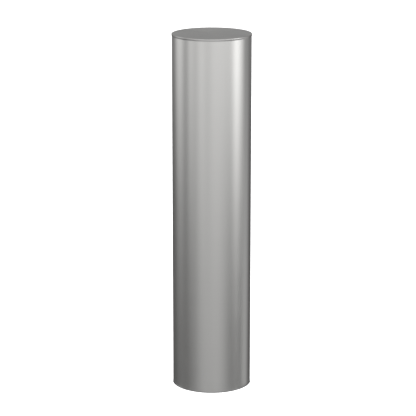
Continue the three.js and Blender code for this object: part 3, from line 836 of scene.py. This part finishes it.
def make_plates(materials):
    steel = materials["steel"]
    columns = numbered("guide_column", 3)
    foot_screws = numbered("foot_screw", 3)
    frame_screws = numbered("frame_screw", 6)
    low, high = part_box("guide_bush_1")
    bush_radius = (high.x - low.x) / 2.0 - BUSH_LIP

    name = "slider_flange"
    holes = holes_round(columns, bush_radius, name) + holes_round(foot_screws, SCREW_HOLE, name)
    plate(name, "bollard", "steel", steel, 1.0, PLATE_ANGLE, holes)

    name = "foot_ring"
    holes = holes_round(foot_screws, SCREW_HOLE, name)
    plate(name, "bollard", "steel", steel, 1.0, PLATE_ANGLE, holes)

    name = "lower_plate"
    holes = holes_round(columns, NUT_THREAD_HOLE, name)
    radii = [r for r, z in meridian(name, near=PLATE_ANGLE)]
    r = (min(radii) + max(radii)) / 2.0 + LIGHTENING_OUT
    level = middle(name).z
    for k in range(3):
        a = math.radians(120.0 * k)
        point = (r * math.cos(a), r * math.sin(a), level)
        holes.append((point, LIGHTENING_HOLE, PLATE_CUT, "Z"))
    plate(name, "ground_unit", "steel", steel, 1.0, PLATE_ANGLE, holes)

    zinc = materials["galvanised"]
    name = "frame_flange"
    holes = holes_round(frame_screws, SCREW_HOLE, name) + holes_round(columns, SPIGOT_HOLE, name)
    plate(name, "ground_unit", "galvanised", zinc, 0.8, CLEAR_ANGLE, holes)

    name = "foundation_casing"
    holes = holes_round(frame_screws, SCREW_HOLE, "frame_flange")
    deeper = 12.0 * MM      # how much further down the cut goes, into the casing's flange
    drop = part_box("frame_flange")[0].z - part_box(name)[1].z + deeper
    holes = [(point - Vector((0.0, 0.0, drop)), r, half, along) for point, r, half, along in holes]
    for socket, towards in SOCKETS:
        point = middle(socket)
        point.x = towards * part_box(name)[1].x
        holes.append((point, pipe_radius(socket) + PIPE_FIT, PIPE_CUT, "X"))
    plate(name, "ground_unit", "galvanised", zinc, 0.8, CLEAR_ANGLE, holes)


CASING_BEAD = 3.2 * MM      # radii of the weld beads
LUG_BEAD = 2.4 * MM
FOOT_BEAD = 2.2 * MM
LUG_HALF = 25.0 * MM        # from the middle of a lug round to its two beads
LUG_END = 4.0 * MM          # the beads stop this far from its ends


def make_welds(materials):
    zinc = materials["galvanised"]
    wall = casing_wall()
    flange = [z for r, z in meridian("foundation_casing", near=CLEAR_ANGLE) if r > wall + MM]
    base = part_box("casing_base")[1].z
    for name, level in (("casing_flange_weld", min(flange)), ("casing_base_weld", base)):
        weld_bead(
            name, circle_path(wall, level, 180), CASING_BEAD, True, zinc, "ground_unit", "galvanised"
        )
    for k in range(3):
        low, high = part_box(f"anchor_lug_{k + 1}")
        for side in (-1.0, 1.0):
            a = math.radians(120.0 * k) + side * LUG_HALF / wall
            x, y = wall * math.cos(a), wall * math.sin(a)
            weld_bead(
                f"lug_weld_{k + 1}_{'left' if side < 0 else 'right'}",
                [(x, y, low.z + LUG_END), (x, y, high.z - LUG_END)],
                LUG_BEAD,
                False,
                zinc,
                "ground_unit",
                "galvanised",
            )
    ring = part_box("foot_ring")[1]
    weld_bead(
        "foot_ring_weld", circle_path(ring.x, ring.z, 120), FOOT_BEAD, True,
        materials["steel"], "bollard", "steel",
    )


# ---- Threads, screws and nuts ----------------------------------------------------------------


def threaded_piece(name, body, slot, material, zone, depth, pitch, sides, socket=0.0):
    """A turned CAD node with a thread cut between two heights, and a hexagon socket if it has
    one: the points at the socket's radius turn into six-sided rings."""
    centre = middle(name)
    centre.z = 0.0
    outline = meridian(name)
    bottom, top = zone
    slack = 0.05 * MM
    for i, ((r0, z0), (r1, z1)) in enumerate(zip(outline, outline[1:])):
        if abs(r0 - r1) < slack and z0 < bottom + slack and z1 > top - slack:
            break
    crest = r0
    root = crest - depth
    run = 0.6 * depth
    lower = outline[: i + 1] + [(crest, bottom), (root, bottom + run)]
    upper = [(root, top - run), (crest, top)] + outline[i + 1 :]
    if bottom - z0 < MM:
        lower = outline[:i] + [(root, z0), (root, bottom + run)]
    if z1 - top < MM:
        upper = [(root, top - run), (root, z1)] + outline[i + 2 :]
    if socket:
        lower, upper = (
            [(1.13 * r, z, HEXAGON) if abs(r - socket) < 0.1 * MM else (r, z) for r, z in half]
            for half in (lower, upper)
        )
    build = bmesh.new()
    lathe(build, lower + [None], sides, centre)
    lathe(build, upper + [None], sides, centre)
    thread(build, bottom + run, top - run, crest, root, pitch, sides, centre)
    piece = link(name + "_threaded", build, material, 40.0)
    return settle(piece, body, slot, name)


SCREW_LEAD = 10.0 * MM
M16_PITCH = 2.0 * MM
M12_PITCH = 1.75 * MM


def make_threaded_pieces(materials):
    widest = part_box("lead_screw")[1].x
    steps = sorted(z for r, z in meridian("lead_screw") if r > 0.99 * widest)
    threaded_piece(
        "lead_screw", "screw", "ground_steel", materials["ground_steel"],
        (steps[0] + 6.0 * MM, steps[-1] - 3.0 * MM), 4.5 * MM, SCREW_LEAD, 48,
    )
    plate_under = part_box("lower_plate")[0].z
    for name in numbered("guide_column", 3):
        threaded_piece(
            name, "ground_unit", "ground_steel", materials["ground_steel"],
            (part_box(name)[0].z + 1.2 * MM, plate_under), 1.1 * MM, M16_PITCH, 36,
        )
    zinc = materials["zinc_screw"]
    for name in numbered("frame_screw", 6):
        low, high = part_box(name)
        zone = (low.z, high.z - 14.0 * MM)
        threaded_piece(
            name, "ground_unit", "zinc_screw", zinc, zone, 1.0 * MM, M12_PITCH, 36, 4.5 * MM
        )
    for name in numbered("foot_screw", 3):
        low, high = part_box(name)
        zone = (low.z + 12.0 * MM, high.z)
        threaded_piece(
            name, "bollard", "zinc_screw", zinc, zone, 1.0 * MM, M12_PITCH, 36, 4.5 * MM
        )


def make_column_nuts(materials):
    for name in numbered("column_nut", 3):
        low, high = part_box(name)
        centre = middle(name)
        centre.z = 0.0
        corner = (high.x - low.x) / 2.0
        face = 0.84 * corner
        chamfer = 0.10 * corner
        bore = NUT_THREAD_HOLE
        lip = 0.6 * MM
        profile = [
            (bore, low.z + lip),
            (bore + lip, low.z),
            (face, low.z),
            (corner, low.z + chamfer, HEXAGON),
            (corner, high.z - chamfer, HEXAGON),
            (face, high.z),
            (bore + lip, high.z),
            (bore, high.z - lip),
        ]
        piece = turned_piece(name + "_chamfered", profile, materials["zinc_screw"], 48, centre)
        settle(piece, "ground_unit", "zinc_screw", name)


def cap_screws(name, points, seat, way, radius, body, material, along="Z"):
    """Cap screws with hexagon sockets, all in one piece. way is +1 for heads that point along
    the axis and -1 for heads that point against it."""
    tall = 1.15 * radius
    socket = 0.58 * radius
    edge = 0.12 * radius
    shank = 0.6 * radius
    tip = -1.6 * radius
    bottom = 0.45 * tall        # of the socket
    profile = [
        (0.0, tip),
        (shank, tip),
        (shank, 0.0),
        (radius, 0.0),
        (radius, tall - edge),
        (radius - edge, tall),
        (socket, tall, HEXAGON),
        (socket, bottom, HEXAGON),
        (0.0, bottom),
    ]
    placed = [(r, seat + way * z, *facets) for r, z, *facets in profile]
    build = bmesh.new()
    for point in points:
        lathe(build, placed, 36, point, along)
    return settle(link(name, build, material), body, "zinc_screw")


def around(angles, radius):
    return [
        (radius * math.cos(math.radians(a)), radius * math.sin(math.radians(a)), 0.0)
        for a in angles
    ]


NUT_SCREWS_IN = 7.5 * MM        # from the rim of a part in to the ring of its screws
HOUSING_SCREWS_IN = 8.0 * MM
LANTERN_SCREWS_IN = 6.0 * MM
MOTOR_SCREW_RING = 34.0 * MM    # radius of the ring of screws under the motor
LANTERN_RIM = 8.0 * MM          # thickness of the lantern's two flanges


def make_small_screws(materials):
    zinc = materials["zinc_screw"]
    by_sixty = [30.0 + 60.0 * k for k in range(6)]
    by_ninety = [45.0 + 90.0 * k for k in range(4)]
    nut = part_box("screw_nut")
    cap_screws(
        "nut_flange_screws", around(by_sixty, nut[1].x - NUT_SCREWS_IN), nut[0].z, -1.0, 5.0 * MM,
        "bollard", zinc,
    )
    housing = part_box("bearing_housing")
    cap_screws(
        "housing_screws", around(by_sixty, housing[1].x - HOUSING_SCREWS_IN), housing[1].z, 1.0,
        6.0 * MM,
        "ground_unit", zinc,
    )
    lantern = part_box("motor_lantern")
    places = around(by_ninety, lantern[1].x - LANTERN_SCREWS_IN)
    cap_screws(
        "lantern_upper_screws", places, lantern[1].z - LANTERN_RIM, -1.0, 4.5 * MM,
        "ground_unit", zinc,
    )
    cap_screws(
        "lantern_lower_screws", places, lantern[0].z + LANTERN_RIM, 1.0, 4.5 * MM,
        "ground_unit", zinc,
    )
    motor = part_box("motor")
    cap_screws(
        "motor_bell_screws", around(by_ninety, MOTOR_SCREW_RING), motor[0].z, -1.0, 4.0 * MM,
        "ground_unit", zinc,
    )


# ---- Seals, sensor faces and plug ------------------------------------------------------------


def make_seals(materials):
    """Shields of the bearing and rubber rings round the pipe sockets."""
    rubber = materials["rubber"]
    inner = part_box("bearing_inner_ring")[1].x + 0.3 * MM
    low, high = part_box("bearing_outer_ring")
    outer = meridian("bearing_outer_ring")[0][0] - 0.1 * MM
    thick = 1.6 * MM
    for name, level in (("bearing_shield_lower", low.z), ("bearing_shield_upper", high.z - thick)):
        groove = (inner + outer) / 2.0
        profile = [
            (inner, level),
            (outer, level),
            (outer, level + thick),
            (groove + 0.8 * MM, level + thick),
            (groove, level + 0.6 * thick),
            (groove - 0.8 * MM, level + thick),
            (inner, level + thick),
        ]
        piece = turned_piece(name, filleted(profile, 0.2 * MM), rubber, 80)
        settle(piece, "ground_unit", "rubber")
    wall = casing_wall()
    for socket, towards in SOCKETS:
        centre = middle(socket)
        centre.x = 0.0
        pipe = pipe_radius(socket)
        bore = pipe + 0.1 * MM
        rim = pipe + 5.5 * MM
        first, last = sorted((towards * (wall - 3.5 * MM), towards * (wall + 3.0 * MM)))
        profile = [(bore, first), (rim, first), (rim, last), (bore, last)]
        name = socket.replace("socket", "grommet")
        piece = turned_piece(name, filleted(profile, 1.5 * MM), rubber, 96, centre, "X")
        settle(piece, "ground_unit", "rubber")


SENSOR_HALF = 7.0 * MM      # from a sensor's middle to its side towards the axis
FACE_DOWN = 4.0 * MM        # the active face's centre, below the sensor's middle
LAMP_UP = 9.0 * MM          # the lamp's centre, above it


def make_sensor_faces(materials):
    """The round active face and the small lamp of each sensor, on the side towards the axis."""
    axis = AXES["rail"]
    for name in ("upper_sensor", "lower_sensor"):
        centre = middle(name)
        reach = centre.dot(axis)
        across = centre - axis * reach
        face = reach - SENSOR_HALF
        profile = [(0.0, -1.0), (5.5, -1.0), (6.5, -0.4), (6.5, 1.0), (0.0, 1.0)]
        placed = [(r * MM, face + z * MM) for r, z in profile]
        spot = across - Vector((0.0, 0.0, FACE_DOWN))
        disc = turned_piece(name + "_face", placed, materials["blue_paint"], 48, spot, "rail")
        settle(disc, "ground_unit", "blue_paint")
        lamp = [(0.0, -0.8), (1.0, -0.7), (1.5, -0.2), (1.5, 1.0), (0.0, 1.0)]
        placed = [(r * MM, face + z * MM) for r, z in lamp]
        spot = across + Vector((0.0, 0.0, LAMP_UP))
        lens = turned_piece(name + "_lamp", placed, materials["orange_rubber"], 32, spot, "rail")
        settle(lens, "ground_unit", "orange_rubber")


def make_gearbox_plug(materials):
    low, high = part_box("gearbox")
    level = low.z + 0.35 * (high.z - low.z)
    side = 55.0 * MM            # from the axis to the gearbox's side
    head = -side - 6.0 * MM
    collar = -side - 1.5 * MM
    inside = -side + 1.0 * MM
    profile = [
        (0.0, head),
        (7.0 * MM, head),
        (8.5 * MM, -side - 5.2 * MM, HEXAGON),
        (8.5 * MM, collar, HEXAGON),
        (10.0 * MM, collar),
        (10.0 * MM, inside),
        (0.0, inside),
    ]
    piece = turned_piece(
        "gearbox_oil_plug", profile, materials["zinc_screw"], 48, (0.0, 0.0, level), "Y"
    )
    settle(piece, "ground_unit", "zinc_screw")


# ---- CAD nodes that stay as they are ---------------------------------------------------------


EDGE_WIDTH = 0.4 * MM       # of the fine bevel on the CAD nodes
MERGE_BEFORE = 0.01 * MM    # corners closer than this are joined before the bevel, and after
MERGE_AFTER = 0.002 * MM


def dress_cad_nodes(materials, slots):
    """Materials, rounded shading and a fine edge for the CAD nodes that no piece replaces."""
    for name, thing in frame["nodes"].items():
        if thing.hide_render:
            continue
        mesh = thing.data
        mesh.materials.clear()
        mesh.materials.append(materials[slots[name]])
        shade(mesh)
        weld = thing.modifiers.new("weld", "WELD")
        weld.merge_threshold = MERGE_BEFORE
        edge = thing.modifiers.new("edge", "BEVEL")
        edge.width = EDGE_WIDTH
        edge.segments = 2
        edge.limit_method = "ANGLE"
        edge.angle_limit = math.radians(40.0)
        edge.harden_normals = True
        clean = thing.modifiers.new("clean", "WELD")
        clean.merge_threshold = MERGE_AFTER


make_camera()
make_world()
make_floor(hole_radius=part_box("cap")[1].x + FLOOR_GAP)
MATERIALS = make_materials()
SLOTS = {row["node"]: row["material_slot"] for row in frame["record"]["subparts"]}
make_post(MATERIALS)
make_turned_pieces(MATERIALS, SLOTS)
make_plates(MATERIALS)
make_welds(MATERIALS)
make_threaded_pieces(MATERIALS)
make_column_nuts(MATERIALS)
make_small_screws(MATERIALS)
make_seals(MATERIALS)
make_sensor_faces(MATERIALS)
make_gearbox_plug(MATERIALS)
dress_cad_nodes(MATERIALS, SLOTS)
